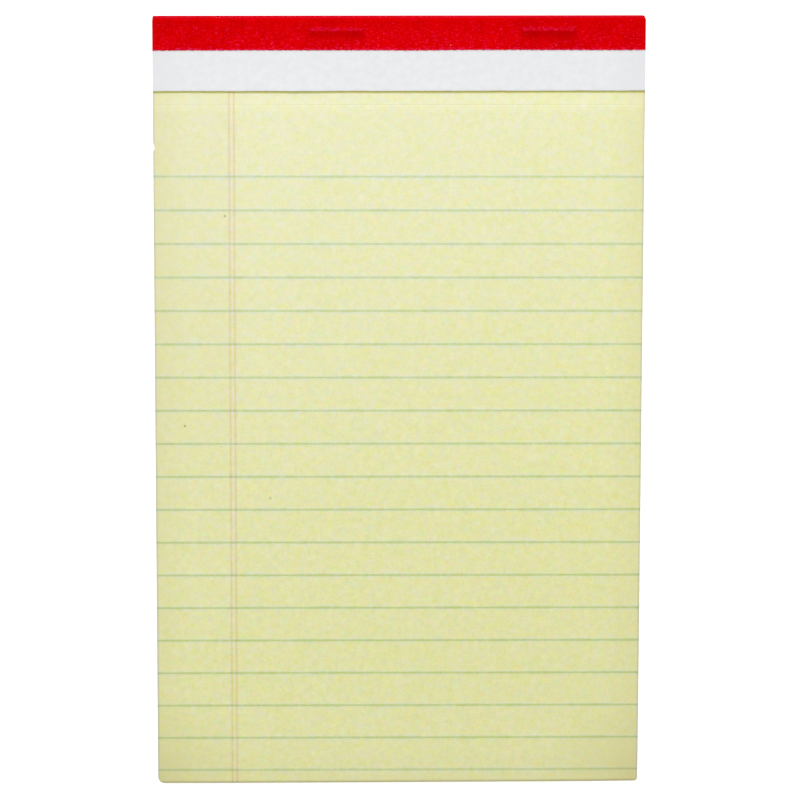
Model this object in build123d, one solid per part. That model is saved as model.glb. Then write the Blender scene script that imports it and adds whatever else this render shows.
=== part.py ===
from build123d import *
import math
import os

# A stitched legal pad lying on its back: X runs across the page, Y runs up to the bound head, Z is up.
# Sizes are in millimetres, and the origin is the middle of the back.

# Pad outline, 5 by 8 inches, with corners worn round
pad_width = 127.0
pad_length = 203.2
head_corner_radius = 0.4
foot_left_radius = 1.8
foot_right_radius = 1.0

# Small nick knocked into the left edge, leaning towards the foot as it goes down
nick_from_head = 33.4
nick_length = 2.1
nick_depth = 0.4
nick_lean = 0.85

# Chipboard back
board_thickness = 0.76

# Ruled sheets, squeezed thinner at the head and swelling to full height below the header strip
sheet_count = 50
sheet_thickness = 0.1
head_squeeze = 0.3
swell_length = 6.0
perforation_from_head = 22.6
perforation_width = 0.16
perforation_depth = 0.06

# White header strip
strip_depth = 18.9
strip_thickness = 0.15

# Binding tape, folded over the head and pressed flush into the board's back
tape_thickness = 0.15
tape_front_depth = 8.4
tape_back_depth = 11.0
front_fold_radius = 0.5
back_fold_radius = 0.3

# Flat-wire stitches through the head
wire_width = 0.52
wire_thickness = 0.42
first_stitch_x = -16.2
second_stitch_x = 38.4
stitch_from_head = 3.5
stitch_crown = 12.7
stitch_clinch = 4.4
wire_bend_radius = 0.5
crown_bite = 0.08
stitch_clearance = 0.02

# Raised tape over each stitch, steep towards the head and long towards the foot
blister_room = 0.05
blister_head_slope = 0.8
blister_foot_slope = 2.1
blister_end_slope = 1.2

# Printed rules on the top sheet
first_rule_from_head = 41.25
rule_pitch = 8.8
rule_width = 0.4
rule_ink_thickness = 0.02
last_rule_from_foot = 2.0
margin_from_left = 20.3
margin_spacing = 1.25
margin_width = 0.4
margin_ink_thickness = 0.02

# Levels and edges that follow from the sizes above
head_y = pad_length / 2
foot_y = -pad_length / 2
left_x = -pad_width / 2
bound_head_y = head_y - tape_thickness
page_top = board_thickness + sheet_count * sheet_thickness
bound_top = page_top - head_squeeze
strip_top = bound_top + strip_thickness
tape_top = strip_top + tape_thickness
strip_edge_y = head_y - strip_depth
swell_end_y = strip_edge_y - swell_length
stitch_y = head_y - stitch_from_head
stitch_places = (first_stitch_x, second_stitch_x)
blister_height = wire_thickness - crown_bite + blister_room


def rounded(outline, x, y, radius):
    """Plan outline with the corner nearest to x, y rounded."""
    corner = outline.vertices().sort_by_distance((x, y, 0))[0]
    return fillet(corner, radius)


def nick():
    """Slanting round bar that bites the nick out of the left edge, placed by its section at the page."""
    radius = (nick_length**2 / 4 + nick_depth**2) / (2 * nick_depth)
    section = Pos(left_x + nick_depth - radius, head_y - nick_from_head, page_top) * Circle(radius)
    return extrude(section, 2 * page_top, dir=(0, nick_lean, page_top), both=True)


def pad_outline():
    """Tall prism of the pad's plan: a rectangle with worn corners and the nick in its left edge."""
    outline = Rectangle(pad_width, pad_length)
    outline = rounded(outline, left_x, head_y, head_corner_radius)
    outline = rounded(outline, -left_x, head_y, head_corner_radius)
    outline = rounded(outline, left_x, foot_y, foot_left_radius)
    outline = rounded(outline, -left_x, foot_y, foot_right_radius)
    return extrude(outline, 2 * page_top) - nick()


def across_pad(section):
    """Section in the YZ plane carried across the width and trimmed to the pad's outline."""
    return extrude(Plane.YZ * section, pad_width, both=True) & pad_outline()


def fold_waste(corner_z, radius, side):
    """Sharp corner of the bound head that a fold rounds off; side is 1 in front and -1 at the back."""
    square = Pos(bound_head_y - radius / 2, corner_z - side * radius / 2) * Rectangle(radius, radius)
    return square - Pos(bound_head_y - radius, corner_z - side * radius) * Circle(radius)


def head_folds():
    """What the tape's two folds round off the board, the sheets and the strip."""
    front = fold_waste(strip_top, front_fold_radius, 1)
    back = fold_waste(tape_thickness, back_fold_radius, -1)
    return front + back


def page_height(y):
    """Height of the top sheet at y: a smooth step from the squeezed head to the full block."""
    share = min(max((strip_edge_y - y) / swell_length, 0), 1)
    return bound_top + head_squeeze * share**2 * (3 - 2 * share)


def wire_along_stitch(x, clearance):
    """Flat bar along a stitch's path: crown, two legs and two clinched ends turned inwards."""
    leg = (stitch_crown - wire_thickness) / 2
    crown_z = strip_top - crown_bite + wire_thickness / 2
    clinch_z = tape_thickness + wire_thickness / 2
    path = FilletPolyline(
        (x - leg + stitch_clinch, stitch_y, clinch_z),
        (x - leg, stitch_y, clinch_z),
        (x - leg, stitch_y, crown_z),
        (x + leg, stitch_y, crown_z),
        (x + leg, stitch_y, clinch_z),
        (x + leg - stitch_clinch, stitch_y, clinch_z),
        radius=wire_bend_radius,
    )
    section = Rectangle(wire_width + 2 * clearance, wire_thickness + 2 * clearance)
    start = Plane(origin=path @ 0, x_dir=(0, 1, 0), z_dir=path % 0)
    return sweep(start * section, path=path)


def stitch_channels():
    """Room that the stitches take in the pieces they pass through, with clearance all round."""
    return [wire_along_stitch(x, stitch_clearance) for x in stitch_places]


def blister(x, base_z):
    """Tent over a stitch: a long low base drawn up to a crest as long and as wide as the crown."""
    base_width = wire_width + blister_head_slope + blister_foot_slope
    base_y = stitch_y + (blister_head_slope - blister_foot_slope) / 2
    base = Pos(x, base_y, base_z) * SlotOverall(stitch_crown + 2 * blister_end_slope, base_width)
    crest = Pos(x, stitch_y, base_z + blister_height) * SlotOverall(stitch_crown, wire_width)
    return loft([base.face(), crest.face()], ruled=True)


def backing_board():
    """Flat board with a shallow step at the back of the head, where the tape is pressed in."""
    tape_step_y = head_y - tape_back_depth
    section = Polygon(
        (foot_y, 0),
        (tape_step_y, 0),
        (tape_step_y, tape_thickness),
        (bound_head_y, tape_thickness),
        (bound_head_y, board_thickness),
        (foot_y, board_thickness),
        align=None,
    )
    return across_pad(section - head_folds()) - stitch_channels()


def whole_sheets():
    """Block of sheets before stitching, with the perforation pressed across the top sheet."""
    third = swell_length / 3
    top = Bezier(
        (strip_edge_y, bound_top),
        (strip_edge_y - third, bound_top),
        (swell_end_y + third, page_top),
        (swell_end_y, page_top),
    )
    foot_and_back = Polyline(
        (swell_end_y, page_top), (foot_y, page_top), (foot_y, board_thickness), (bound_head_y, board_thickness)
    )
    head = Polyline((bound_head_y, board_thickness), (bound_head_y, bound_top), (strip_edge_y, bound_top))
    perforation_y = head_y - perforation_from_head
    groove_z = page_height(perforation_y)
    groove = Polygon(
        (perforation_y, groove_z - perforation_depth),
        (perforation_y + perforation_width, groove_z + perforation_depth),
        (perforation_y - perforation_width, groove_z + perforation_depth),
        align=None,
    )
    return across_pad(make_face(top + foot_and_back + head) - head_folds() - groove)


def header_strip():
    """Paper strip on the squeezed head of the block, from the head edge down to its free edge."""
    section = Polygon(
        (strip_edge_y, bound_top),
        (bound_head_y, bound_top),
        (bound_head_y, strip_top),
        (strip_edge_y, strip_top),
        align=None,
    )
    return across_pad(section - head_folds()) - stitch_channels()


def binding_tape():
    """Tape folded over the head, raised over each stitch and hollow beneath the raised parts."""
    middle = tape_thickness / 2
    fold_line = FilletPolyline(
        (head_y - tape_front_depth, strip_top + middle),
        (head_y - middle, strip_top + middle),
        (head_y - middle, middle),
        (head_y - tape_back_depth, middle),
        radius=(front_fold_radius + middle, back_fold_radius + middle),
    )
    tape = across_pad(trace(fold_line, tape_thickness))
    tape += [blister(x, tape_top) for x in stitch_places]
    tape -= [blister(x, strip_top) for x in stitch_places]
    return tape - stitch_channels()


def wire_stitches():
    """The two stitches, each one bent wire."""
    return [wire_along_stitch(x, 0) for x in stitch_places]


def page_film(sheets, thickness):
    """Ink film over the whole page: the block lifted by the film's thickness, less the block itself."""
    return Pos(0, 0, thickness) * sheets - sheets


def rule_lines(sheets):
    """Writing rules across the page, from the first rule down to the last that clears the foot."""
    film = page_film(sheets, rule_ink_thickness)
    rule_room = pad_length - first_rule_from_head - last_rule_from_foot
    rules = []
    for i in range(math.floor(rule_room / rule_pitch) + 1):
        y = head_y - first_rule_from_head - i * rule_pitch
        rules.append(film & Pos(0, y, page_top) * Box(pad_width, rule_width, page_top))
    return rules


def margin_lines(sheets, rules):
    """Double margin rule from the header strip to the foot, printed over the writing rules."""
    film = page_film(sheets, rule_ink_thickness + margin_ink_thickness)
    length = strip_edge_y - foot_y
    lines = []
    for side in (-1, 1):
        x = left_x + margin_from_left + side * margin_spacing / 2
        line = film & Pos(x, foot_y + length / 2, page_top) * Box(margin_width, length, page_top)
        lines.append(line - rules)
    return lines


sheets = whole_sheets()
rules = rule_lines(sheets)
nodes = {
    "backing_board": [backing_board()],
    "sheet_block": [sheets - stitch_channels()],
    "header_strip": [header_strip()],
    "binding_tape": [binding_tape()],
    "wire_stitches": wire_stitches(),
    "rule_lines": rules,
    "margin_lines": margin_lines(sheets, rules),
}

os.makedirs("parts", exist_ok=True)
for name, pieces in nodes.items():
    solids = [solid for piece in pieces for solid in piece.solids()]
    export_step(Compound(children=solids), f"parts/{name}.step")
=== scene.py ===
import math

import bpy
import numpy as np
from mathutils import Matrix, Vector


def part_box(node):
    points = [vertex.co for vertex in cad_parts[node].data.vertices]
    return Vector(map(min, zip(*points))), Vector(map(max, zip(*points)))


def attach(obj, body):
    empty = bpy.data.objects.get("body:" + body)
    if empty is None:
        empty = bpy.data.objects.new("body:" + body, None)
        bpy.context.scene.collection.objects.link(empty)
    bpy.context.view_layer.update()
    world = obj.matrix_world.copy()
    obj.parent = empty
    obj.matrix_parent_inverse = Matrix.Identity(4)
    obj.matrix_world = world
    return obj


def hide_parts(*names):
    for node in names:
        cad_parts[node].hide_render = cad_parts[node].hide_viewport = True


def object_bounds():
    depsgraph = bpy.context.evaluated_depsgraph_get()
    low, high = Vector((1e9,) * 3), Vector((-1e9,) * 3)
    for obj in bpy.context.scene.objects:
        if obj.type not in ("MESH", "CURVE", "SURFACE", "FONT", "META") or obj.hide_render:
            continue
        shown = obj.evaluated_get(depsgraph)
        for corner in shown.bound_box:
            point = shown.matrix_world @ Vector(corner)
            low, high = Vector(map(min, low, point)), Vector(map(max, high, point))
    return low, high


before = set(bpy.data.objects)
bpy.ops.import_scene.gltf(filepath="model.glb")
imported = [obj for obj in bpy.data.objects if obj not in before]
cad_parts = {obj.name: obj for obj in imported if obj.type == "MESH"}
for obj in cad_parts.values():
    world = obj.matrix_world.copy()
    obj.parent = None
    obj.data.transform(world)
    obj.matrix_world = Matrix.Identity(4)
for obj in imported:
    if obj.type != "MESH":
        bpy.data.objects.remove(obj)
cad_low, cad_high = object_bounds()

MM = 0.001
chance = np.random.default_rng(508)

# Levels and edges of the pad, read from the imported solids
_, board_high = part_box("backing_board")
sheets_low, sheets_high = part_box("sheet_block")
strip_low, strip_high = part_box("header_strip")
tape_low, tape_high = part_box("binding_tape")

HALF_WIDTH = tape_high[0]
HEAD_Y = tape_high[1]
BOUND_HEAD_Y = sheets_high[1]
FOOT_Y = sheets_low[1]
STRIP_EDGE_Y = strip_low[1]
BOARD_TOP = board_high[2]
PAGE_TOP = sheets_high[2]
BOUND_TOP = strip_low[2]
STRIP_TOP = strip_high[2]
TAPE_THICK = HEAD_Y - BOUND_HEAD_Y
TAPE_BACK_Y = tape_low[1]
TAPE_FRONT_DEPTH = 8.4 * MM
TAPE_FRONT_Y = HEAD_Y - TAPE_FRONT_DEPTH
BLISTER_SPARE = 0.03 * MM
BLISTER_HEIGHT = tape_high[2] - STRIP_TOP - TAPE_THICK - BLISTER_SPARE

# Worn corners, and the nick in the left edge that leans towards the foot as it goes down
HEAD_RADIUS = 0.4 * MM
FOOT_LEFT_RADIUS = 1.8 * MM
FOOT_RIGHT_RADIUS = 1.0 * MM
NICK_Y = HEAD_Y - 33.4 * MM
NICK_LENGTH = 2.1 * MM
NICK_DEPTH = 0.4 * MM
NICK_LEAN = 0.85 * MM

# Sheets: the squeeze under the strip, and how handling has eased them at the foot and the edges
SHEET_COUNT = 50
SWELL_LENGTH = 6.0 * MM
PERFORATION_Y = HEAD_Y - 22.6 * MM
PERFORATION_DEPTH = 0.03 * MM
PERFORATION_SPREAD = 0.10 * MM
TOP_SHEET_THICK = 0.085 * MM
TRIM_WAVER = 0.045 * MM
LEAF_FILL = 0.7
LEAF_RECESS = 0.07 * MM
RIPPLE_HEIGHT = 0.03 * MM
FOOT_DROOP = 0.22 * MM
FOOT_DROOP_LENGTH = 15.0 * MM
CORNER_DROOP = 0.3 * MM
CORNER_DROOP_LENGTH = 24.0 * MM
SIDE_ROLL = 0.09 * MM
SIDE_ROLL_LENGTH = 0.4 * MM
FOOT_ROLL = 0.3 * MM
FOOT_ROLL_LENGTH = 0.8 * MM
ROLL_LEAVES = 6.0

# Header strip, free along its lower edge
STRIP_LIFT = 0.42 * MM
STRIP_LIFT_LENGTH = TAPE_FRONT_Y - STRIP_EDGE_Y
STRIP_LIFT_POWER = 1.3
STRIP_EDGE_ROLL = 0.05 * MM
STRIP_EDGE_WAVER = 0.02 * MM

# Tape: its ragged front edge, its uneven lie, its folds with their slight bow, and the raised tape over each
# stitch with the strain round it
FRONT_RAG = 0.035 * MM
FRONT_WAVER = 0.03 * MM
TAPE_PUFF = 0.012 * MM
FRONT_FOLD = 0.5 * MM
BACK_FOLD = 0.3 * MM
HEAD_BOW = 0.09 * MM
HEAD_BOW_RISE = 2.0 * MM
SHEETS_HEAD_Y = BOUND_HEAD_Y - 2.2 * HEAD_BOW
BLISTER_HEAD_SLOPE = 1.8 * MM
BLISTER_FOOT_SLOPE = 2.3 * MM
BLISTER_END_SLOPE = 1.2 * MM
BLISTER_POWER = 1.9
STRAIN_REACH = 9.0 * MM

# Print: the least gap between two lines, how far the ink stands above the page and reaches into it, how
# far it has bled to each side of a line, and how far askew or to one side it lies on the page
LINE_GAP = 0.5 * MM
INK_ABOVE = 0.008 * MM
MARGIN_ABOVE = 0.012 * MM
INK_BELOW = 0.02 * MM
RULE_REACH = 0.85 * MM
MARGIN_REACH = 0.66 * MM
RULE_SKEW = -0.0023
MARGIN_SKEW = -0.0004
MARGIN_SHIFT = -0.04 * MM
ACROSS_LINE = np.linspace(-1.0, 1.0, 9)


def smooth_step(t):
    """Cubic step from 0 to 1, flat at both ends."""
    t = np.clip(t, 0.0, 1.0)
    return t * t * (3.0 - 2.0 * t)


def fading(distance, reach):
    """One at zero distance, falling along a parabola to nothing at the reach."""
    return np.clip(1.0 - distance / reach, 0.0, 1.0) ** 2


def wander(places, longest, shortest, lines=1):
    """Wavering of about unit size along each line: six sine waves from the longest to the shortest,
    each with a drawn phase, the long ones strongest."""
    waves = np.geomspace(longest, shortest, 6)
    strength = np.sqrt(waves)
    strength *= math.sqrt(2.0) / np.linalg.norm(strength)
    phase = chance.uniform(0.0, 2.0 * math.pi, (lines, 1, len(waves)))
    turns = 2.0 * math.pi * places[None, :, None] / waves
    return (strength * np.sin(turns + phase)).sum(-1)


def rows_between(low, high, step):
    """Evenly spaced places from low to high, at most a step apart."""
    return np.linspace(low, high, max(2, math.ceil((high - low) / step) + 1))


def corner_inset(from_end, radius):
    """How far a worn corner draws the side in: a quarter circle measured from the pad's end."""
    short = np.clip(radius - from_end, 0.0, radius)
    return radius - np.sqrt(radius**2 - short**2)


def left_side(y, z=PAGE_TOP):
    """X of the left edge at a height: straight, drawn in by the worn corners and by the shallow arc of the
    nick, whose middle moves towards the foot with depth."""
    nick_radius = (NICK_LENGTH**2 / 4 + NICK_DEPTH**2) / (2 * NICK_DEPTH)
    nick_middle = NICK_Y - NICK_LEAN * (1.0 - z / PAGE_TOP)
    nick_arc = np.sqrt(np.maximum(nick_radius**2 - (y - nick_middle) ** 2, 0.0))
    corners = corner_inset(y - FOOT_Y, FOOT_LEFT_RADIUS) + corner_inset(SHEETS_HEAD_Y - y, HEAD_RADIUS)
    return -HALF_WIDTH + np.maximum(corners, NICK_DEPTH - nick_radius + nick_arc)


def right_side(y):
    """X of the right edge: straight, drawn in by the worn corners."""
    corners = corner_inset(y - FOOT_Y, FOOT_RIGHT_RADIUS) + corner_inset(SHEETS_HEAD_Y - y, HEAD_RADIUS)
    return HALF_WIDTH - corners


def trim_waver(y, phase):
    """How far the top sheet's cut edge lies inside the outline: three sine waves up the page, never proud."""
    long_waves = 0.4 * np.sin(y / (11.0 * MM) + phase) + 0.25 * np.sin(y / (3.7 * MM) + 2.3 * phase)
    return TRIM_WAVER * (1.0 + long_waves + 0.35 * np.sin(y / (0.7 * MM) + 4.1 * phase))


def across_page(y, shares):
    """X at these shares of the top sheet's width, from its wavering left edge to its right one."""
    left = left_side(y) + trim_waver(y, 0.8)
    right = right_side(y) - trim_waver(y, 2.9)
    return left + shares * (right - left)


def block_height(x, y):
    """Top of the block: a smooth step up from the bound head, long low ripples across the page,
    and parabolas that ease the foot and its two corners down."""
    swell = smooth_step((STRIP_EDGE_Y - y) / SWELL_LENGTH)
    ripple = np.sin(x / (9.0 * MM) + 0.7) * np.sin(y / (14.0 * MM))
    ripple = ripple + np.sin(y / (23.0 * MM) - x / (31.0 * MM))
    from_foot = y - FOOT_Y
    left_corner = np.hypot(x + HALF_WIDTH, from_foot)
    right_corner = np.hypot(HALF_WIDTH - x, from_foot)
    corner = fading(left_corner, CORNER_DROOP_LENGTH) + fading(right_corner, CORNER_DROOP_LENGTH)
    drop = FOOT_DROOP * fading(from_foot, FOOT_DROOP_LENGTH) + CORNER_DROOP * corner
    full = PAGE_TOP - BOUND_TOP + RIPPLE_HEIGHT * (ripple - 1.0)
    return BOUND_TOP + swell * full - drop


def edge_roll(x, y):
    """How far the cut edges roll down: parabolas along both sides and, steeper, along the foot."""
    from_side = np.minimum(x - across_page(y, 0.0), across_page(y, 1.0) - x)
    return np.maximum(
        SIDE_ROLL * fading(from_side, SIDE_ROLL_LENGTH), FOOT_ROLL * fading(y - FOOT_Y, FOOT_ROLL_LENGTH)
    )


def page_surface(x, y):
    """Top of the first sheet: the block's top with its edges rolled and the perforation pressed in."""
    groove = PERFORATION_DEPTH * np.exp(-(((y - PERFORATION_Y) / PERFORATION_SPREAD) ** 2))
    return block_height(x, y) - edge_roll(x, y) - groove


def page_rows(step, spacing=1.0):
    """Places up the page, at most a step apart, and close together at the foot's rolled edge, the nick, the
    perforation and the swell, there spaced out by the spacing."""
    corner = FOOT_LEFT_RADIUS * (1.0 - np.cos(np.linspace(0.0, math.pi / 2, round(14 / spacing))))
    parts = [
        FOOT_Y + corner,
        rows_between(FOOT_Y + 2.0 * MM, STRIP_EDGE_Y - SWELL_LENGTH, step),
        rows_between(NICK_Y - NICK_LENGTH / 2 - NICK_LEAN, NICK_Y + NICK_LENGTH / 2, 0.12 * MM * spacing),
        PERFORATION_Y + np.linspace(-2.5, 2.5, 13) * PERFORATION_SPREAD,
        rows_between(STRIP_EDGE_Y - SWELL_LENGTH, STRIP_EDGE_Y, 0.25 * MM * spacing),
        rows_between(STRIP_EDGE_Y, SHEETS_HEAD_Y - HEAD_RADIUS, step),
        rows_between(SHEETS_HEAD_Y - HEAD_RADIUS, SHEETS_HEAD_Y, 0.1 * MM * spacing),
    ]
    return np.unique(np.round(np.concatenate(parts), 7))


def under_fold(y, z):
    """Y drawn back near the head, so that a leaf at this height stays inside the front fold's circle."""
    above_centre = np.clip(z - (STRIP_TOP - FRONT_FOLD), 0.0, FRONT_FOLD)
    inset = FRONT_FOLD - np.sqrt(FRONT_FOLD**2 - above_centre**2)
    return y - inset * smooth_step((y - SHEETS_HEAD_Y + 3.0 * MM) / (3.0 * MM))


def width_shares(step):
    """Shares of the width from the left edge to the right, close together near both edges."""
    edge = np.array([0.0, 0.05, 0.11, 0.18, 0.27, 0.4, 0.7, 1.4, 2.6]) * MM / (2.0 * HALF_WIDTH)
    middle = rows_between(edge[-1], 1.0 - edge[-1], step / (2.0 * HALF_WIDTH))
    return np.unique(np.concatenate([edge, middle, 1.0 - edge]))


def grid_points(x, y, z):
    """Points of a grid from its three coordinates, each spread over the whole grid."""
    return np.stack(np.broadcast_arrays(x, y, z), axis=-1)


def slab_quads(rows, columns):
    """Quads of a closed slab: the upper grid, the lower grid turned over, and a wall round their rim."""
    corner = np.arange(rows * columns).reshape(rows, columns)
    upper = np.stack([corner[:-1, :-1], corner[:-1, 1:], corner[1:, 1:], corner[1:, :-1]], -1).reshape(-1, 4)
    lower = upper[:, ::-1] + rows * columns
    rim = np.concatenate([corner[0, :-1], corner[:-1, -1], corner[-1, :0:-1], corner[:0:-1, 0]])
    after = np.roll(rim, -1)
    wall = np.stack([rim, rim + rows * columns, after + rows * columns, after], -1)
    return np.concatenate([upper, lower, wall])


def repeated(quads, copies, points_each):
    """The same quads for each copy of a shape, counted on by the points of the copies before it."""
    offsets = np.arange(copies)[:, None, None] * points_each
    return (quads[None] + offsets).reshape(-1, 4)


def add_piece(name, points, quads, material, node):
    """New piece that rides on the pad and stands for a solid, shaded smooth but for its sharp edges."""
    mesh = bpy.data.meshes.new(name)
    flat = np.ascontiguousarray(points.reshape(-1, 3), dtype=np.float32)
    mesh.vertices.add(len(flat))
    mesh.vertices.foreach_set("co", flat.ravel())
    mesh.loops.add(quads.size)
    mesh.loops.foreach_set("vertex_index", quads.astype(np.int32).ravel())
    mesh.polygons.add(len(quads))
    mesh.polygons.foreach_set("loop_start", np.arange(0, quads.size, 4, dtype=np.int32))
    mesh.polygons.foreach_set("use_smooth", np.ones(len(quads), dtype=bool))
    mesh.update(calc_edges=True)
    mesh.validate()
    mesh.set_sharp_from_angle(angle=math.radians(50))
    mesh.materials.append(material)
    piece = bpy.data.objects.new(name, mesh)
    bpy.context.scene.collection.objects.link(piece)
    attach(piece, "root")
    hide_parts(node)
    return piece


def add_values(piece, name, values):
    """Number at each point of a piece, for its material to read."""
    layer = piece.data.attributes.new(name, "FLOAT", "POINT")
    layer.data.foreach_set("value", np.ascontiguousarray(values, dtype=np.float32).ravel())


def make_top_sheet(material):
    """The first sheet: a thin slab whose upper side is the page surface."""
    y = page_rows(1.0 * MM)[:, None]
    x = across_page(y, width_shares(2.0 * MM))
    upper = page_surface(x, y)
    y = under_fold(y, upper)
    points = np.stack([grid_points(x, y, upper), grid_points(x, y, upper - TOP_SHEET_THICK)])
    return add_piece("top_sheet", points, slab_quads(*x.shape), material, "sheet_block")


def make_lower_sheets(material):
    """The other sheets: thin slabs that share out the block's height, each cut a little short of the
    outline by its own wavering amount, their edges rolled less the deeper they lie."""
    leaves = SHEET_COUNT - 1
    y_line = page_rows(4.0 * MM, 2.0)
    shares = np.array([0.0, 0.002, 0.01, 0.3, 0.7, 0.99, 0.998, 1.0])
    rank = np.arange(leaves)[:, None, None]
    level = BOARD_TOP + (rank + 0.5) / SHEET_COUNT * (PAGE_TOP - BOARD_TOP)

    def recess():
        """Drawn setback of each leaf's edge plus its waver up the page, never proud of the outline."""
        whole = chance.uniform(0.1, 0.8, (leaves, 1))
        waver = 0.2 * wander(y_line, 60 * MM, 4 * MM, leaves)
        return LEAF_RECESS * np.clip(whole + waver, 0.0, 1.2)[:, :, None]

    left = left_side(y_line[None, :, None], level) + recess()
    right = right_side(y_line)[None, :, None] - recess()
    x = left + shares * (right - left)
    foot_recess = LEAF_RECESS * chance.uniform(0.1, 1.2, (leaves, 1, 1))
    y = y_line[None, :, None] + foot_recess * fading(y_line - FOOT_Y, 30 * MM)[None, :, None]
    y = np.broadcast_to(y, x.shape)
    pitch = (block_height(x, y) - BOARD_TOP) / SHEET_COUNT
    roll = edge_roll(x, y) * np.exp(-(leaves - rank) / ROLL_LEAVES)
    lower = BOARD_TOP + pitch * (rank + 0.1) - roll
    upper = lower + pitch * LEAF_FILL
    y = under_fold(y, upper)
    points = np.stack([grid_points(x, y, upper), grid_points(x, y, lower)], axis=1)
    rows, columns = x.shape[1:]
    quads = repeated(slab_quads(rows, columns), leaves, 2 * rows * columns)
    piece = add_piece("lower_sheets", points, quads, material, "sheet_block")
    add_values(piece, "leaf_tone", np.repeat(chance.uniform(0.0, 1.0, leaves), 2 * rows * columns))
    return piece


def make_header_strip(material):
    """Paper strip over the bound head: a slab that rises from the tape to its free edge, almost straight,
    with the edge itself wavering and turned down a little."""
    shares = width_shares(1.5 * MM)
    from_edge = np.unique(np.concatenate([
        np.array([0.0, 0.05, 0.12, 0.22]) * MM,
        rows_between(0.35 * MM, STRIP_LIFT_LENGTH, 0.5 * MM),
        rows_between(STRIP_LIFT_LENGTH, SHEETS_HEAD_Y - STRIP_EDGE_Y - FRONT_FOLD, 1.5 * MM),
    ]))[:, None]
    along = (2.0 * shares - 1.0) * HALF_WIDTH
    waver = wander(along, 90 * MM, 12 * MM)
    edge = wander(along, 20 * MM, 1.5 * MM)
    y = STRIP_EDGE_Y + from_edge + STRIP_EDGE_WAVER * edge * fading(from_edge, 1.5 * MM)
    x = left_side(y) + shares * (right_side(y) - left_side(y))
    rise = np.clip(1.0 - from_edge / STRIP_LIFT_LENGTH, 0.0, 1.0) ** STRIP_LIFT_POWER
    lift = STRIP_LIFT * (1.0 + 0.10 * waver) * rise
    lift = lift - STRIP_EDGE_ROLL * fading(from_edge, 0.4 * MM)
    thick = STRIP_TOP - BOUND_TOP
    points = np.stack([grid_points(x, y, STRIP_TOP + lift), grid_points(x, y, STRIP_TOP - thick + lift)])
    return add_piece("white_strip", points, slab_quads(*x.shape), material, "header_strip")


def stitch_spans():
    """Middle of each stitch along X, their place along Y, the crown's length and the wire's width, from the
    stitches' solids."""
    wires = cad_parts["wire_stitches"].data.vertices
    places = np.empty(len(wires) * 3, dtype=np.float32)
    wires.foreach_get("co", places)
    x, y = places[0::3], places[1::3]
    halves = [x[x < 0.0], x[x > 0.0]]
    middles = [(half.min() + half.max()) / 2 for half in halves]
    return middles, (y.min() + y.max()) / 2, halves[0].max() - halves[0].min(), y.max() - y.min()


def near_stitch(x, y, headward, footward, beyond_ends):
    """Nearness to the stitches: one along each wire, falling evenly to nothing at these distances from it
    towards the head, towards the foot and round its two ends."""
    middles, stitch_y, crown, wire_width = stitch_spans()
    above = np.maximum(y - stitch_y - wire_width / 2, 0.0) / headward
    below = np.maximum(stitch_y - y - wire_width / 2, 0.0) / footward
    share = np.zeros(np.broadcast(x, y).shape)
    for middle in middles:
        beyond = np.maximum(np.abs(x - middle) - crown / 2, 0.0) / beyond_ends
        away = np.sqrt(above**2 + below**2 + beyond**2)
        share = share + np.clip(1.0 - away, 0.0, 1.0)
    return share


def blister(x, y):
    """Rise of the tape over the stitches, as a share of its height: full along the wire, then a power curve
    down to the flat, longer towards the foot than towards the head, and shortest round the two ends."""
    return near_stitch(x, y, BLISTER_HEAD_SLOPE, BLISTER_FOOT_SLOPE, BLISTER_END_SLOPE) ** BLISTER_POWER


def tape_fold_line():
    """Middle line of the tape in the YZ plane, from its front edge over the head to its back edge: two
    straight legs, the spine and a quarter circle at each fold. Gives points and outward normals."""
    half = TAPE_THICK / 2
    spine_y = HEAD_Y - half
    front_z = STRIP_TOP + half
    front_radius = FRONT_FOLD + half
    back_radius = BACK_FOLD + half

    def quarter(from_angle, to_angle, radius, centre_z, steps):
        angle = np.linspace(from_angle, to_angle, steps)
        normal = np.stack([np.cos(angle), np.sin(angle)], -1)
        return np.array([spine_y - radius, centre_z]) + radius * normal, normal

    def run(start, end, normal, step):
        length = math.dist(start, end)
        share = np.linspace(0.0, 1.0, math.ceil(length / step) + 1)[:, None]
        points = np.array(start) + share * (np.array(end) - np.array(start))
        return points, np.broadcast_to(normal, points.shape)

    front_arc = quarter(math.pi / 2, 0.0, front_radius, front_z - front_radius, 9)
    back_arc = quarter(0.0, -math.pi / 2, back_radius, half + back_radius, 7)
    lines = [
        run((TAPE_FRONT_Y, front_z), (TAPE_FRONT_Y + 0.6 * MM, front_z), (0.0, 1.0), 0.1 * MM),
        run((TAPE_FRONT_Y + 0.6 * MM, front_z), front_arc[0][0], (0.0, 1.0), 0.25 * MM),
        front_arc,
        run(front_arc[0][-1], back_arc[0][0], (1.0, 0.0), 0.6 * MM),
        back_arc,
        run(back_arc[0][-1], (TAPE_BACK_Y, half), (0.0, -1.0), 1.5 * MM),
    ]
    points = np.concatenate([line[0][1:] if i else line[0] for i, line in enumerate(lines)])
    normals = np.concatenate([line[1][1:] if i else line[1] for i, line in enumerate(lines)])
    return points, normals


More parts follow.
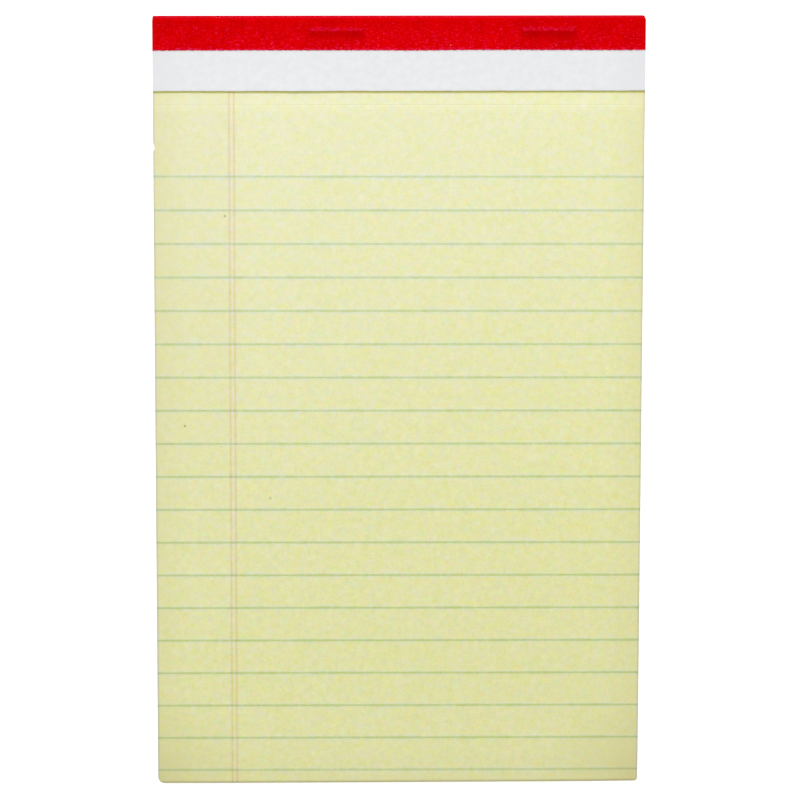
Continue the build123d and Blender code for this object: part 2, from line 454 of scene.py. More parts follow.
def head_pull(line, x_line):
    """How far the tape is drawn in at the head: by a slight bow that grows above the board and is deepest at
    the left, and by a quarter circle at each corner, held at the board to what still covers it."""
    x = x_line[None, :]
    waver = wander(x_line, 160 * MM, 40 * MM).clip(-1.0, 1.0)
    bow = HEAD_BOW * (1.0 - 0.75 * x / HALF_WIDTH + 0.25 * waver)
    corner = corner_inset(HALF_WIDTH - np.abs(x), HEAD_RADIUS)
    corner_at_board = np.minimum(corner, 0.9 * TAPE_THICK)
    above_board = smooth_step((line[:, 1:2] - BOARD_TOP) / HEAD_BOW_RISE)
    near_head = smooth_step((line[:, 0:1] - TAPE_FRONT_Y - 2.0 * MM) / (5.0 * MM))
    return near_head * (corner_at_board + above_board * (corner + bow - corner_at_board))


def lay_weave(piece, quads, x, run):
    """Flat places on the cloth in millimetres, across the tape and along its run from the front edge."""
    places = np.stack(np.broadcast_arrays(x, run), -1).reshape(-1, 2) / MM
    places = np.concatenate([places, places])
    layer = piece.data.uv_layers.new(name="weave")
    layer.data.foreach_set("uv", places[quads.ravel()].astype(np.float32).ravel())


def mark_tape(piece, x, y, normals, front):
    """Numbers for the tape's material at each point of both faces: how far it has turned round the head, its
    rise over the stitches, the head side of that rise, rubbed and given a painted highlight, and the strain
    round the stitches."""
    fold = np.broadcast_to(1.0 - np.abs(normals[:, 1:2]), y.shape)
    stitch_y = stitch_spans()[1]
    crest = front * blister(x, y)
    rub_and_highlight = crest * smooth_step((y - stitch_y) / (0.4 * MM) + 0.5)
    strain = front * near_stitch(x, y, STRAIN_REACH, STRAIN_REACH, STRAIN_REACH / 4)
    for name, values in (("fold", fold), ("crest", crest), ("rub_and_highlight", rub_and_highlight), ("strain", strain)):
        add_values(piece, name, np.stack([values, values]))


def make_tape(material):
    """Cloth tape folded over the head: the fold line carried across the width, thickened both ways along
    its normals, lifted over the stitches, its front edge ragged and its fold line slightly bowed."""
    line, normals = tape_fold_line()
    run = np.concatenate([[0.0], np.cumsum(np.linalg.norm(np.diff(line, axis=0), axis=1))])[:, None]
    x_line = np.unique(np.concatenate([
        rows_between(-HALF_WIDTH, HALF_WIDTH, 0.26 * MM),
        -HALF_WIDTH + np.linspace(0.0, 0.6, 6) * MM,
        HALF_WIDTH - np.linspace(0.0, 0.6, 6) * MM,
    ]))
    x = x_line[None, :]
    front = np.clip(normals[:, 1:2], 0.0, 1.0)
    ragged = FRONT_RAG * wander(x_line, 2.5 * MM, 0.6 * MM) + FRONT_WAVER * wander(x_line, 70 * MM, 12 * MM)
    pull = head_pull(line, x_line)
    puff = TAPE_PUFF * wander(x_line, 30 * MM, 2.5 * MM) * front * smooth_step(run / (2.0 * MM))

    def side(offset):
        """Outer or inner face of the tape, half its thickness to one side of the fold line."""
        y = line[:, 0:1] + offset * normals[:, 0:1] - pull
        y = y + ragged * fading(run, 1.2 * MM)
        z = line[:, 1:2] + offset * normals[:, 1:2] + puff
        return grid_points(x, y, z + BLISTER_HEIGHT * front * blister(x, y))

    points = np.stack([side(TAPE_THICK / 2), side(-TAPE_THICK / 2)])
    quads = slab_quads(len(line), len(x_line))
    piece = add_piece("cloth_tape", points, quads, material, "binding_tape")
    lay_weave(piece, quads, x, run)
    mark_tape(piece, x, line[:, 0:1] - pull, normals, front)
    return piece


def printed_lines(node, axis):
    """Middle of each printed line, from the line solids' own points along the axis, parted where a gap
    between two lines lies."""
    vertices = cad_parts[node].data.vertices
    places = np.empty(len(vertices) * 3, dtype=np.float32)
    vertices.foreach_get("co", places)
    places = np.sort(places[axis::3].astype(float))
    lines = np.split(places, np.flatnonzero(np.diff(places) > LINE_GAP) + 1)
    return np.array([(line[0] + line[-1]) / 2 for line in lines])


def add_print(name, x, y, above, material, node):
    """Printed lines as thin closed slabs over the page, from their places by line, along and across: highest
    in the middle and close to the page at both sides, with the ink's strength falling to both sides."""
    crown = 1.0 - 0.8 * ACROSS_LINE**4
    page = page_surface(x, y)
    points = np.stack([grid_points(x, y, page + above * crown), grid_points(x, y, page - INK_BELOW)], axis=1)
    lines, stations, columns = page.shape
    quads = repeated(slab_quads(stations, columns), lines, 2 * stations * columns)
    piece = add_piece(name, points, quads, material, node)
    add_values(piece, "soak", np.broadcast_to(1.0 - np.abs(ACROSS_LINE), points.shape[:-1]))
    return piece


def make_rules(material):
    """Writing rules: lines from side to side that follow the page, a little askew and wavering in width."""
    middles = printed_lines("rule_lines", 1)
    shares = width_shares(2.0 * MM)
    along = (2.0 * shares - 1.0) * HALF_WIDTH
    reach = RULE_REACH * (1.0 + 0.1 * wander(along, 25 * MM, 4 * MM, len(middles)))
    y = (middles[:, None] + RULE_SKEW * along)[:, :, None] - reach[:, :, None] * ACROSS_LINE
    x = across_page(y, shares[:, None])
    return add_print("ruled_lines", x, y, INK_ABOVE, material, "rule_lines")


def make_margin(material):
    """Double margin rule: two lines from under the strip to the foot that follow the page, a little askew
    and wavering in width."""
    middles = printed_lines("margin_lines", 0)
    rows = page_rows(1.0 * MM)
    rows = rows[rows <= STRIP_EDGE_Y + 1.0e-6]
    reach = MARGIN_REACH * (1.0 + 0.06 * wander(rows, 25 * MM, 4 * MM, len(middles)))
    middle_line = middles[:, None] + MARGIN_SHIFT + MARGIN_SKEW * rows
    x = middle_line[:, :, None] + reach[:, :, None] * ACROSS_LINE
    y = np.broadcast_to(rows[:, None], x.shape)
    return add_print("margin_rules", x, y, MARGIN_ABOVE, material, "margin_lines")


# Values of the materials, with lengths in millimetres and colours as red, green, blue and cover

# Page: pale and deep tints at its foot and its head, the paler head being painted light, how unevenly red,
# green and blue took the dye there, the tones of wear mixed with painted shade, the painted shade of the
# perforation, the painted shadow under the strip, and specks
FOOT_PALE = (0.804, 0.803, 0.455, 1.0)
HEAD_PALE = (0.816, 0.814, 0.575, 1.0)
FOOT_DEEP = (0.749, 0.753, 0.353, 1.0)
HEAD_DEEP = (0.774, 0.776, 0.457, 1.0)
FOOT_UNEVENNESS = (0.38, 0.25, 1.18, 1.0)
HEAD_UNEVENNESS = (0.28, 0.17, 1.03, 1.0)
TINT_SLANT = 0.42
DYE_PER_MM = 0.6
# Tint of handling wear mixed with painted shade, and the painted shade at the rims of the sides and the foot
WEAR_AND_SHADE_TINT = (0.640, 0.600, 0.270, 1.0)
EDGE_TONE_REACH = 9.0
CORNER_REACH = 26.0
SIDE_RIM_SHADE = (0.530, 0.525, 0.400, 1.0)
FOOT_RIM_SHADE = (0.700, 0.600, 0.320, 1.0)
PRICKS_PER_MM = 0.9
PRICK_SHARE = 0.7
# Painted shade in the perforation's slits, and the painted shadow under the strip's edge
PERFORATION_SHADE = (0.5, 0.48, 0.26, 1.0)
STRIP_SHADOW_TINT = (1.0, 0.95, 0.34, 1.0)
SPECK_TINT = (0.24, 0.24, 0.02, 1.0)

# Stray specks on the page: place and radius, and strength
PAGE_SPECKS = ((-45.10, 50.16, 0.42, 0.60), (-55.81, -5.15, 0.36, 0.75), (-33.58, -24.46, 0.45, 0.40))

# What the inks multiply into the page: along the middle of a line, and in the faint halo beside it
RULE_CORE = (0.735, 0.805, 0.55, 1.0)
RULE_HALO = (0.950, 0.995, 1.17, 1.0)
MARGIN_CORE = (0.91, 0.90, 0.58, 1.0)
MARGIN_HALO = (1.012, 0.948, 1.12, 1.0)

# Lower sheets and header strip
LEAF_DEEP = (0.690, 0.670, 0.370, 1.0)
LEAF_PALE = (0.790, 0.780, 0.480, 1.0)
LEAF_SHADE = (0.62, 0.60, 0.33, 1.0)
STRIP_DEEP = (0.729, 0.741, 0.761, 1.0)
STRIP_PALE = (0.771, 0.780, 0.798, 1.0)
STRIP_END_TINT = (0.710, 0.722, 0.748, 1.0)

# Cloth of the tape: its dye, its threads worn pink with painted highlight mixed in, its painted shade and
# highlight, and the lint scattered over it
THREAD_PITCH = 0.30
CLOTH_DEEP = (0.560, 0.0002, 0.0006, 1.0)
CLOTH_BRIGHT = (0.730, 0.0003, 0.0012, 1.0)
CLOTH_WEAR_AND_HIGHLIGHT = (0.725, 0.0200, 0.1450, 1.0)
FOLD_SHADE = (0.530, 0.0003, 0.0010, 1.0)
SPINE_HIGHLIGHT = (0.650, 0.0040, 0.0160, 1.0)
CREST_SHADE = (0.500, 0.0006, 0.0030, 1.0)
LINT_TINT = (0.82, 0.40, 0.36, 1.0)
LINT_STRENGTH = 0.4
LINT_SPACING = 7.0
LINT_RADIUS = 0.16
LINT_SHIFT = (0.8, 4.2, 0.0)

# Chipboard and wire
BOARD_DEEP = (0.300, 0.265, 0.215, 1.0)
BOARD_PALE = (0.400, 0.360, 0.300, 1.0)
DARK_FLECK = (0.13, 0.12, 0.105, 1.0)
PALE_FLECK = (0.62, 0.59, 0.52, 1.0)
WIRE_DARK = (0.45, 0.46, 0.47, 1.0)
WIRE_BRIGHT = (0.66, 0.67, 0.68, 1.0)

# Sheen of each surface, and the depth of its fine relief
PAGE_SHEEN = 0.15
STRIP_SHEEN = 0.3
CLOTH_SHEEN = 0.0003
PAGE_RELIEF = 0.012 * MM
LEAF_RELIEF = 0.03 * MM
STRIP_RELIEF = 0.006 * MM
CLOTH_RELIEF = 0.018 * MM
BOARD_RELIEF = 0.05 * MM
WIRE_RELIEF = 0.01 * MM


def feed(tree, socket, value):
    """Links a socket into another, or sets a plain value on it."""
    if isinstance(value, bpy.types.NodeSocket):
        tree.links.new(value, socket)
    else:
        socket.default_value = value


def node(tree, kind, inputs=None, **settings):
    """New shader node with its settings and its inputs, each a plain value or another node's output."""
    made = tree.nodes.new("ShaderNode" + kind)
    for name, value in settings.items():
        setattr(made, name, value)
    for name, value in (inputs or {}).items():
        feed(tree, made.inputs[name], value)
    return made


def maths(tree, operation, first, second=0.0):
    """Result of one sum on two numbers."""
    return node(tree, "Math", {0: first, 1: second}, operation=operation).outputs[0]


def total(tree, first, *others):
    """All the numbers added up."""
    for other in others:
        first = maths(tree, "ADD", first, other)
    return first


def product(tree, first, *others):
    """All the numbers multiplied together."""
    for other in others:
        first = maths(tree, "MULTIPLY", first, other)
    return first


def blend(tree, share, first, second, mode="MIX"):
    """Colour between two colours by a share from 0 to 1."""
    mixer = node(tree, "Mix", {0: share, 6: first, 7: second}, data_type="RGBA", blend_type=mode)
    return mixer.outputs[2]


def spread(tree, value, low, high, to_low=0.0, to_high=1.0, curve="LINEAR"):
    """Number stretched from one range to another and held inside it."""
    inputs = {"Value": value, "From Min": low, "From Max": high, "To Min": to_low, "To Max": to_high}
    return node(tree, "MapRange", inputs, interpolation_type=curve).outputs[0]


def new_material(name):
    """Empty material with its node tree and its one shader."""
    made = bpy.data.materials.new(name)
    made.use_nodes = True
    return made, made.node_tree, made.node_tree.nodes["Principled BSDF"]


def paint(tree, shader, colour, roughness):
    """Gives the shader its colour and its roughness."""
    feed(tree, shader.inputs["Base Color"], colour)
    feed(tree, shader.inputs["Roughness"], roughness)


def set_relief(tree, shader, height, depth):
    """Fine relief of this depth on the shader."""
    bump = node(tree, "Bump", {"Height": height, "Distance": depth, "Strength": 1.0})
    feed(tree, shader.inputs["Normal"], bump.outputs[0])


def attribute(tree, name):
    """Number that a piece carries at each of its points."""
    return node(tree, "Attribute", attribute_name=name).outputs["Fac"]


def object_places(tree, stretch=(1.0, 1.0, 1.0), turn=0.0):
    """Places on the object in millimetres, stretched and turned about Z for a grain."""
    places = node(tree, "TexCoord").outputs["Object"]
    scale = tuple(1.0 / MM * s for s in stretch)
    return node(tree, "Mapping", {"Vector": places, "Scale": scale, "Rotation": (0.0, 0.0, turn)}).outputs[0]


def x_and_y(tree, places):
    """The first two coordinates of places."""
    split = node(tree, "SeparateXYZ", {0: places})
    return split.outputs[0], split.outputs[1]


def inside_sides(tree, x):
    """Distance from the nearer side of the pad."""
    return maths(tree, "SUBTRACT", HALF_WIDTH / MM, maths(tree, "ABSOLUTE", x))


def cloud(tree, places, per_mm, detail=3.0, roughness=0.55):
    """Soft random pattern with this many features to the millimetre, from 0 to 1."""
    inputs = {"Vector": places, "Scale": per_mm, "Detail": detail, "Roughness": roughness}
    return node(tree, "TexNoise", inputs).outputs[0]


# Paper


def paper_fibres(tree):
    """Relief and mottle of uncoated paper: short fibres lying two ways, over soft cloudy formation."""
    across = cloud(tree, object_places(tree, (1.0, 0.22, 1.0), 0.35), 7.0, 2.0)
    along = cloud(tree, object_places(tree, (0.22, 1.0, 1.0), -0.2), 7.0, 2.0)
    fibres = maths(tree, "MAXIMUM", across, along)
    formation = cloud(tree, object_places(tree), 0.55, 4.0, 0.6)
    return fibres, formation


def dyed(tree, colour, unevenness):
    """Colour whose red, green and blue each vary by a soft pattern, as pulp takes dye unevenly."""
    inputs = {"Vector": object_places(tree), "Scale": DYE_PER_MM, "Detail": 4.0, "Roughness": 0.72}
    pattern = node(tree, "TexNoise", inputs).outputs["Color"]
    half, one = (0.5, 0.5, 0.5), (1.0, 1.0, 1.0)
    more_or_less = node(tree, "VectorMath", {0: pattern, 1: half}, operation="SUBTRACT").outputs[0]
    inputs = {0: more_or_less, 1: unevenness, 2: one}
    share = node(tree, "VectorMath", inputs, operation="MULTIPLY_ADD").outputs[0]
    return node(tree, "VectorMath", {0: colour, 1: share}, operation="MULTIPLY").outputs[0]


def plain_page(tree, fibres, formation, x, y):
    """Canary colour of the paper: pale and deep tints mottled together, paler towards the head and a little
    deeper towards the right. Both gradients are painted light: the paler head stands in for the light's sheen
    and its falloff down the page, the deeper right side for warmer light on that side."""
    grain = cloud(tree, object_places(tree), 2.2, 2.0, 0.7)
    mottle = total(
        tree, product(tree, fibres, 0.25), product(tree, formation, 0.30), product(tree, grain, 0.45)
    )
    # The slant and the rise up the page paint light: falloff down the page and warmer light towards the
    # right.
    slant = maths(tree, "SUBTRACT", y, product(tree, x, TINT_SLANT))
    up_page = maths(tree, "POWER", spread(tree, slant, -55.0, 95.0), 1.2)
    pale = blend(tree, up_page, FOOT_PALE, HEAD_PALE)
    deep = blend(tree, up_page, FOOT_DEEP, HEAD_DEEP)
    colour = blend(tree, spread(tree, mottle, 0.40, 0.62), deep, pale)
    return dyed(tree, colour, blend(tree, up_page, FOOT_UNEVENNESS, HEAD_UNEVENNESS))


def wear_and_shade_share(tree, from_side, from_foot, x, y):
    """How far the page is toned, partly by handling and partly as painted shade where the light falls off
    towards the
    foot: along both sides and the foot, most in the two lower corners, and faintly left of the margin rule
    higher up and all over the lower right."""
    side = spread(tree, from_side, 0.0, EDGE_TONE_REACH, 0.24, 0.0)
    foot = spread(tree, from_foot, 0.0, EDGE_TONE_REACH, 0.13, 0.0)
    beside_margin = product(tree, spread(tree, x, -48.0, -38.0, 0.11, 0.0), spread(tree, y, -45.0, 20.0))
    lower_right = product(
        tree, spread(tree, x, -5.0, 55.0, 0.0, 0.08), spread(tree, y, -80.0, -20.0, 1.0, 0.0)
    )
    squares = total(tree, maths(tree, "POWER", from_side, 2.0), maths(tree, "POWER", from_foot, 2.0))
    near_corner = spread(tree, maths(tree, "SQRT", squares), 0.0, CORNER_REACH, 1.0, 0.0)
    corner = product(tree, near_corner, spread(tree, x, -HALF_WIDTH / MM, HALF_WIDTH / MM, 0.40, 0.44))
    return total(tree, side, foot, corner, beside_margin, lower_right)


def worn_and_shaded(tree, colour, x, y):
    """Colour toned by handling and by painted shade, then greyed by painted shade at the rim of both sides,
    more so towards the foot, and browned by painted shade at the rim of the foot."""
    from_side = inside_sides(tree, x)
    from_foot = maths(tree, "SUBTRACT", y, FOOT_Y / MM)
    colour = blend(tree, wear_and_shade_share(tree, from_side, from_foot, x, y), colour, WEAR_AND_SHADE_TINT)
    side_rim_shade = spread(tree, from_side, 0.05, 0.7, 1.0, 0.0)
    side_rim_shade = product(tree, side_rim_shade, spread(tree, y, -95.0, 70.0, 0.9, 0.6))
    colour = blend(tree, side_rim_shade, colour, SIDE_RIM_SHADE)
    return blend(tree, spread(tree, from_foot, 0.05, 0.7, 0.7, 0.0), colour, FOOT_RIM_SHADE)


def shaded_perforation_and_strip_edge(tree, colour, x, y):
    """Colour with painted shade in short dashes along the perforation's slits, and a brown painted shadow on
    the page just under the strip's free edge.
    """
    from_line = maths(tree, "ABSOLUTE", maths(tree, "SUBTRACT", y, PERFORATION_Y / MM))
    dash = maths(tree, "LESS_THAN", maths(tree, "FRACT", product(tree, x, PRICKS_PER_MM)), PRICK_SHARE)
    prick_shade = product(tree, spread(tree, from_line, 0.03, 0.12, 0.16, 0.0), dash)
    colour = blend(tree, prick_shade, colour, PERFORATION_SHADE)
    from_strip = maths(tree, "SUBTRACT", STRIP_EDGE_Y / MM, y)
    strip_shadow = spread(tree, from_strip, 0.25, 0.80, 1.0, 0.0)
    return blend(tree, strip_shadow, colour, STRIP_SHADOW_TINT, "MULTIPLY")


def specked(tree, colour):
    """Colour with the stray specks on it, each a small soft dot."""
    for speck_x, speck_y, radius, strength in PAGE_SPECKS:
        inputs = {0: object_places(tree), 1: (speck_x, speck_y, PAGE_TOP / MM)}
        away = node(tree, "VectorMath", inputs, operation="DISTANCE").outputs["Value"]
        cover = spread(tree, away, radius * 0.4, radius, strength, 0.0)
        colour = blend(tree, cover, colour, SPECK_TINT)
    return colour


def page_material(name):
    """Start of a material on the page: its paper's sheen, roughness and relief, its colour, and how well the
    paper takes ink from place to place."""
    made, tree, shader = new_material(name)
    fibres, formation = paper_fibres(tree)
    shader.inputs["Specular IOR Level"].default_value = PAGE_SHEEN
    feed(tree, shader.inputs["Roughness"], spread(tree, fibres, 0.35, 0.7, 0.62, 0.78))
    set_relief(tree, shader, total(tree, fibres, product(tree, formation, 0.6)), PAGE_RELIEF)
    x, y = x_and_y(tree, object_places(tree))
    colour = plain_page(tree, fibres, formation, x, y)
    colour = worn_and_shaded(tree, colour, x, y)
    colour = shaded_perforation_and_strip_edge(tree, colour, x, y)
    colour = specked(tree, colour)
    taken = spread(tree, formation, 0.3, 0.7, 1.1, 0.8)
    return made, tree, shader, colour, taken


def yellow_paper():
    """Uncoated canary writing paper with its fibres in relief and hardly any sheen."""
    made, tree, shader, colour, _ = page_material("canary_paper")
    feed(tree, shader.inputs["Base Color"], colour)
    return made


def sheet_edges():
    """The same paper on the lower sheets: each leaf its own tone, its cut edges rough."""
    made, tree, shader = new_material("canary_sheets")
    fibres, formation = paper_fibres(tree)
    colour = blend(tree, attribute(tree, "leaf_tone"), LEAF_DEEP, LEAF_PALE)
    colour = blend(tree, spread(tree, formation, 0.35, 0.7, 0.0, 0.3), colour, LEAF_SHADE)
    paint(tree, shader, colour, spread(tree, fibres, 0.3, 0.7, 0.7, 0.85))
    set_relief(tree, shader, fibres, LEAF_RELIEF)
    return made


def white_paper():
    """Smooth white label paper with a faint cool cast, a fine calendered grain and ends a little darker."""
    made, tree, shader = new_material("smooth_white_paper")
    fibres, formation = paper_fibres(tree)
    colour = blend(tree, spread(tree, formation, 0.35, 0.65), STRIP_DEEP, STRIP_PALE)
    from_side = inside_sides(tree, x_and_y(tree, object_places(tree))[0])
    colour = blend(tree, spread(tree, from_side, 0.0, EDGE_TONE_REACH, 0.8, 0.0), colour, STRIP_END_TINT)
    paint(tree, shader, colour, spread(tree, fibres, 0.3, 0.7, 0.52, 0.64))
    shader.inputs["Specular IOR Level"].default_value = STRIP_SHEEN
    set_relief(tree, shader, fibres, STRIP_RELIEF)
    return made


# Ink


def stained(tree, colour, soak, taken, core, halo):
    """Colour under soaked ink: a faint halo out to the line's full reach, and the ink itself towards its
    middle as far as the paper has taken it, both multiplied into the colour below."""
    colour = blend(tree, spread(tree, soak, 0.0, 0.35), colour, halo, "MULTIPLY")
    share = product(tree, spread(tree, soak, 0.42, 0.95, curve="SMOOTHSTEP"), taken)
    return blend(tree, share, colour, core, "MULTIPLY")


def rule_taken(tree, taken):
    """How strongly the writing rules took: more and more towards the foot of the page, but for the last."""
    y = x_and_y(tree, object_places(tree))[1]
    towards_foot = spread(tree, y, -45.0, 60.0, 1.1, 0.82)
    last_rule = spread(tree, y, -96.0, -91.0, 0.8, 1.0)
    return product(tree, taken, towards_foot, last_rule)


def rule_ink():
    """Pale blue-green ink of the writing rules, soaked into the page."""
    made, tree, shader, colour, taken = page_material("rule_ink")
    soak = attribute(tree, "soak")
    colour = stained(tree, colour, soak, rule_taken(tree, taken), RULE_CORE, RULE_HALO)
    feed(tree, shader.inputs["Base Color"], colour)
    return made


def rule_crossing(tree):
    """Nearness to a writing rule that the margin crosses: one on its middle, nothing beyond its reach."""
    rules = printed_lines("rule_lines", 1) / MM
    pitch = float(np.mean(np.diff(rules)))
    x, y = x_and_y(tree, object_places(tree))
    level = maths(tree, "SUBTRACT", y, product(tree, x, RULE_SKEW))
    steps = maths(tree, "DIVIDE", maths(tree, "SUBTRACT", level, float(rules[0])), pitch)
    off_rule = maths(tree, "ABSOLUTE", maths(tree, "SUBTRACT", steps, maths(tree, "ROUND", steps)))
    nearness = spread(tree, product(tree, off_rule, pitch), 0.0, RULE_REACH / MM, 1.0, 0.0)
    below_first = maths(tree, "LESS_THAN", level, float(rules[-1]) + pitch / 2)
    return product(tree, nearness, below_first)


def margin_ink():
    """Pale red ink of the margin rule, soaked into the page over the writing rules that it crosses."""
    made, tree, shader, colour, taken = page_material("margin_ink")
    colour = stained(tree, colour, rule_crossing(tree), rule_taken(tree, taken), RULE_CORE, RULE_HALO)
    colour = stained(tree, colour, attribute(tree, "soak"), taken, MARGIN_CORE, MARGIN_HALO)
    feed(tree, shader.inputs["Base Color"], colour)
    return made


# Cloth


def plain_weave(tree, places):
    """Height of a plain weave: warp and weft threads as half sine waves, each dipping along its length and
    passing over the other in every second crossing."""
    across, along = x_and_y(tree, places)
    warp_wave = maths(tree, "SINE", product(tree, across, math.pi / THREAD_PITCH))
    weft_wave = maths(tree, "SINE", product(tree, along, math.pi / THREAD_PITCH))
    across_warp = maths(tree, "ABSOLUTE", warp_wave)
    across_weft = maths(tree, "ABSOLUTE", weft_wave)
    warp = product(tree, across_warp, spread(tree, across_weft, 0.0, 1.0, 0.55, 1.0))
    weft = product(tree, across_weft, spread(tree, across_warp, 0.0, 1.0, 0.55, 1.0))
    warp_over = maths(tree, "GREATER_THAN", product(tree, warp_wave, weft_wave), 0.0)
    return node(tree, "Mix", {0: warp_over, 2: weft, 3: warp}, data_type="FLOAT").outputs[0]


def dyed_threads(tree, places):
    """How dark the dye lies along the threads: streaks each way, stronger along the weft."""
    warp_places = node(tree, "Mapping", {"Vector": places, "Scale": (1.0, 0.15, 1.0)}).outputs[0]
    weft_places = node(tree, "Mapping", {"Vector": places, "Scale": (0.3, 1.0, 1.0)}).outputs[0]
    warp = product(tree, cloud(tree, warp_places, 2.6), 0.6)
    weft = product(tree, cloud(tree, weft_places, 2.6), 1.4)
    return total(tree, warp, weft)


def lint_specks(tree, places):
    """Stray specks of lint: a small ragged dot in about every second cell of a scattered pattern."""
    scattered = node(tree, "Mapping", {"Vector": places, "Location": LINT_SHIFT}).outputs[0]
    inputs = {"Vector": scattered, "Scale": 1.0 / LINT_SPACING}
    cells = node(tree, "TexVoronoi", inputs, voronoi_dimensions="2D")
    drawn = x_and_y(tree, cells.outputs["Color"])[0]
    size = spread(tree, drawn, 0.5, 1.0, 0.0, LINT_RADIUS)
    raggedness = spread(tree, cloud(tree, places, 5.0, 1.0), 0.35, 0.65, 0.7, 2.2)
    away = product(tree, cells.outputs["Distance"], LINT_SPACING, raggedness)
    return maths(tree, "LESS_THAN", away, size)


def wear_and_highlight_share(tree, threads, slubs, weave, up_tape, marks):
    """How far the threads are worn pink, with painted highlight mixed in: most where they stand high, on the
    head side of the stitches, on the spine and at the frayed front edge, and least on the foot side of the
    stitches and towards the fold."""
    in_lee = maths(tree, "SUBTRACT", marks["crest"], marks["rub_and_highlight"])
    wear_and_highlight = total(
        tree,
        threads,
        product(tree, slubs, 1.4),
        product(tree, weave, 0.15),
        product(tree, marks["rub_and_highlight"], 0.36),
        product(tree, marks["spine"], 0.22),
        product(tree, in_lee, -0.8),
        spread(tree, up_tape, 4.0, 8.0, 0.0, -0.11),
        spread(tree, up_tape, 0.0, 0.9, 0.3, 0.0),
    )
    return spread(tree, wear_and_highlight, 1.94, 2.38)


def shade_and_highlight(tree, colour, marks):
    """Colour with painted shade along the front fold and on the tape raised over the stitches, and a pink
    painted highlight on the spine.
    """
    fold_shade = product(tree, marks["fold"], spread(tree, marks["fold"], 0.0, 1.0, 3.2, 0.0))
    colour = blend(tree, fold_shade, colour, FOLD_SHADE)
    colour = blend(tree, product(tree, marks["spine"], 0.6), colour, SPINE_HIGHLIGHT)
    return blend(tree, product(tree, marks["crest"], 0.44), colour, CREST_SHADE)


def graded_tape_tone(tree, colour, across, up_tape, strain):
    """Colour a little lighter towards the front edge and the middle of the tape, and darker towards the fold,
    the two ends and round the stitches.
    """
    share = product(
        tree,
        spread(tree, up_tape, 0.5, 7.5, 1.025, 0.955),
        spread(tree, maths(tree, "ABSOLUTE", across), 15.0, 60.0, 1.03, 0.97),
        spread(tree, strain, 0.0, 0.6, 1.0, 0.93),
    )
    return node(tree, "VectorMath", {0: colour, "Scale": share}, operation="SCALE").outputs[0]


def red_cloth():
    """Coated red cloth tape: a fine plain weave pressed through the colour, its threads unevenly dyed and
    worn pink with painted highlight mixed in, painted shade on the fold and the stitches, a little lighter
    and darker from place to place, and stray lint."""
    made, tree, shader = new_material("red_cloth_tape")
    places = node(tree, "UVMap", uv_map="weave").outputs[0]
    across, up_tape = x_and_y(tree, places)
    marks = {name: attribute(tree, name) for name in ("fold", "crest", "rub_and_highlight", "strain")}
    marks["spine"] = spread(tree, marks["fold"], 0.8, 1.0)
    weave = plain_weave(tree, places)
    threads = dyed_threads(tree, places)
    slubs = cloud(tree, places, 1.6, 4.0, 0.7)
    patches = cloud(tree, places, 0.22, 3.0)
    dye = total(tree, threads, slubs, patches)
    colour = blend(tree, spread(tree, dye, 1.65, 2.35), CLOTH_DEEP, CLOTH_BRIGHT)
    colour = blend(tree, wear_and_highlight_share(tree, threads, slubs, weave, up_tape, marks), colour, CLOTH_WEAR_AND_HIGHLIGHT)
    colour = shade_and_highlight(tree, colour, marks)
    colour = blend(tree, product(tree, lint_specks(tree, places), LINT_STRENGTH), colour, LINT_TINT)
    colour = graded_tape_tone(tree, colour, across, up_tape, marks["strain"])
    paint(tree, shader, colour, spread(tree, slubs, 0.3, 0.7, 0.5, 0.68))
    shader.inputs["Specular IOR Level"].default_value = CLOTH_SHEEN
    set_relief(tree, shader, total(tree, weave, threads), CLOTH_RELIEF)
    return made


# Board and wire


def grey_chipboard():
    """Chipboard: grey-brown pulp with soft clouds, pale and dark flecks and a felted surface."""
    made, tree, shader = new_material("grey_chipboard")
    clouds = cloud(tree, object_places(tree), 0.18, 5.0, 0.62)
    colour = blend(tree, spread(tree, clouds, 0.3, 0.7), BOARD_DEEP, BOARD_PALE)
    dark = cloud(tree, object_places(tree, (1.0, 0.35, 1.0), 0.9), 1.7, 2.0)
    colour = blend(tree, spread(tree, dark, 0.66, 0.74, 0.0, 0.6), colour, DARK_FLECK)
    light = cloud(tree, object_places(tree, (0.35, 1.0, 1.0), 0.4), 1.9, 2.0)
    colour = blend(tree, spread(tree, light, 0.67, 0.75, 0.0, 0.5), colour, PALE_FLECK)
    felt = cloud(tree, object_places(tree, (1.0, 0.3, 1.0), 0.5), 4.5, 3.0)
    paint(tree, shader, colour, spread(tree, felt, 0.3, 0.7, 0.8, 0.93))
    set_relief(tree, shader, felt, BOARD_RELIEF)
    return made


def galvanised_wire():
    """Drawn steel wire with a dull zinc coat, finely scratched."""
    made, tree, shader = new_material("galvanised_wire")
    scratches = cloud(tree, object_places(tree, (0.15, 1.0, 1.0)), 9.0, 3.0)
    colour = blend(tree, scratches, WIRE_DARK, WIRE_BRIGHT)
    paint(tree, shader, colour, spread(tree, scratches, 0.3, 0.7, 0.32, 0.5))
    shader.inputs["Metallic"].default_value = 1.0
    set_relief(tree, shader, scratches, WIRE_RELIEF)
    return made


# Stage, light and camera

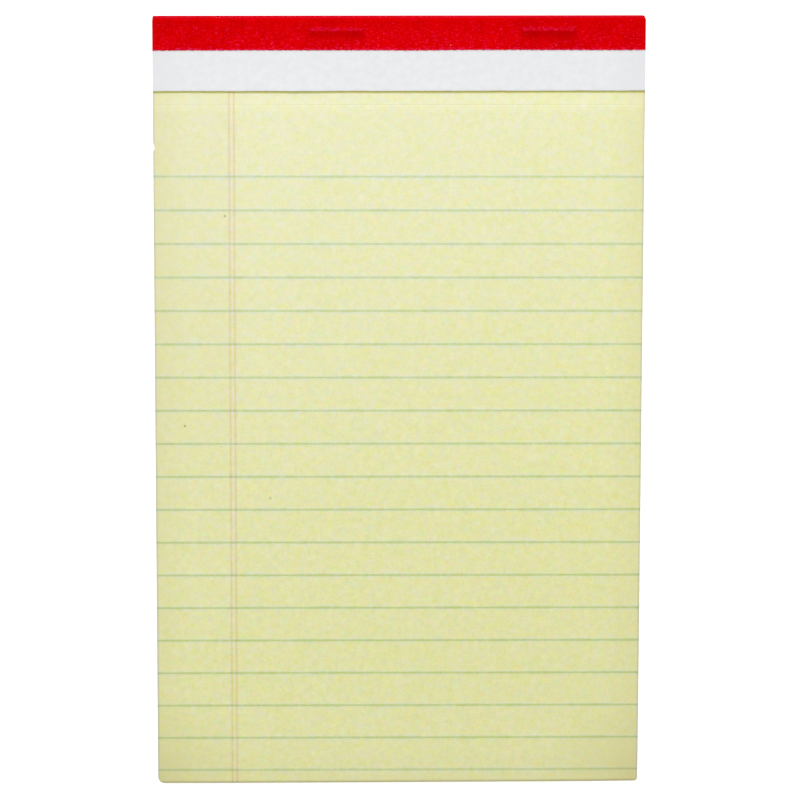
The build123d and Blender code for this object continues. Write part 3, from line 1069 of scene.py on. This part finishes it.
# Lengths in metres, the camera's turn in degrees, and the lens as its focal length over the picture's width
FLOOR_REACH = 6.0
FLOOR_DROP = 0.02 * MM
FLOOR_DULL = (0.88, 0.88, 0.88, 1.0)
FLOOR_BRIGHT = (0.9, 0.9, 0.9, 1.0)
FLOOR_GLOW = 0.6
LIGHT_AIM = (0.0, 0.05, 0.0)
HEAD_LIGHT_PLACE = (-0.05, 1.15, 0.90)
HEAD_LIGHT_SIZE = 0.45
HEAD_LIGHT_POWER = 14.2
OVERHEAD_PLACE = (-0.02, 0.30, 1.20)
OVERHEAD_SIZE = 0.25
OVERHEAD_POWER = 3.2
SURROUND_TINT = (1.0, 0.99, 0.97, 1.0)
FROM_ABOVE = 0.40
FROM_BELOW = 0.85
CAMERA_PLACE = (-32.2121 * MM, 234.8140 * MM, 1228.2575 * MM)
CAMERA_TURN = (-10.8004, -1.5060, 0.0993)
FOCAL_SHARE = 4771.97 / 800.0


def floor_white():
    """Plain white sweep that glows a little, so that it stays white round the pad."""
    made, tree, shader = new_material("white_sweep")
    dust = cloud(tree, object_places(tree), 0.01)
    paint(tree, shader, blend(tree, dust, FLOOR_DULL, FLOOR_BRIGHT), spread(tree, dust, 0.0, 1.0, 0.85, 0.95))
    shader.inputs["Emission Color"].default_value = (1.0, 1.0, 1.0, 1.0)
    shader.inputs["Emission Strength"].default_value = FLOOR_GLOW
    return made


def add_floor():
    """Wide flat floor just under the pad, which sends no coloured light back onto it."""
    level = cad_low[2] - FLOOR_DROP
    ends = ((-1, -1), (1, -1), (1, 1), (-1, 1))
    mesh = bpy.data.meshes.new("floor")
    mesh.from_pydata([(FLOOR_REACH * i, FLOOR_REACH * j, level) for i, j in ends], [], [(0, 1, 2, 3)])
    mesh.materials.append(floor_white())
    floor = bpy.data.objects.new("floor", mesh)
    bpy.context.scene.collection.objects.link(floor)
    floor.visible_diffuse = False


def add_softbox(name, place, size, power):
    """Square soft white light at a place, turned towards the pad."""
    lamp = bpy.data.lights.new(name, "AREA")
    lamp.shape = "SQUARE"
    lamp.size = size
    lamp.energy = power
    box = bpy.data.objects.new(name, lamp)
    box.location = place
    direction = Vector(LIGHT_AIM) - Vector(place)
    box.rotation_euler = direction.to_track_quat("-Z", "Y").to_euler()
    bpy.context.scene.collection.objects.link(box)


def add_light():
    """Soft light from beyond the head of the pad, a smaller one overhead, and a pale surround that is
    brighter from below, as light comes back from a white floor."""
    add_softbox("head_light", HEAD_LIGHT_PLACE, HEAD_LIGHT_SIZE, HEAD_LIGHT_POWER)
    add_softbox("overhead_light", OVERHEAD_PLACE, OVERHEAD_SIZE, OVERHEAD_POWER)
    world = bpy.data.worlds.new("pale_surround")
    world.use_nodes = True
    tree = world.node_tree
    surround = tree.nodes["Background"]
    surround.inputs["Color"].default_value = SURROUND_TINT
    direction = node(tree, "SeparateXYZ", {0: node(tree, "TexCoord").outputs["Generated"]})
    strength = spread(tree, direction.outputs[2], -0.05, 0.0, FROM_BELOW, FROM_ABOVE)
    feed(tree, surround.inputs["Strength"], strength)
    bpy.context.scene.world = world


def add_camera():
    """Long lens nearly overhead, a little beyond the head of the pad, as the photograph was taken."""
    lens = bpy.data.cameras.new("camera")
    lens.sensor_width = 36.0
    lens.lens = FOCAL_SHARE * lens.sensor_width
    lens.clip_start = 0.01
    camera = bpy.data.objects.new("camera", lens)
    camera.location = CAMERA_PLACE
    camera.rotation_euler = tuple(math.radians(angle) for angle in CAMERA_TURN)
    bpy.context.scene.collection.objects.link(camera)
    bpy.context.scene.camera = camera


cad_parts["backing_board"].material_slots[0].material = grey_chipboard()
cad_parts["wire_stitches"].material_slots[0].material = galvanised_wire()
make_top_sheet(yellow_paper())
make_lower_sheets(sheet_edges())
make_header_strip(white_paper())
make_tape(red_cloth())
make_rules(rule_ink())
make_margin(margin_ink())

add_floor()
add_light()
add_camera()
bpy.context.scene.view_settings.view_transform = "Standard"
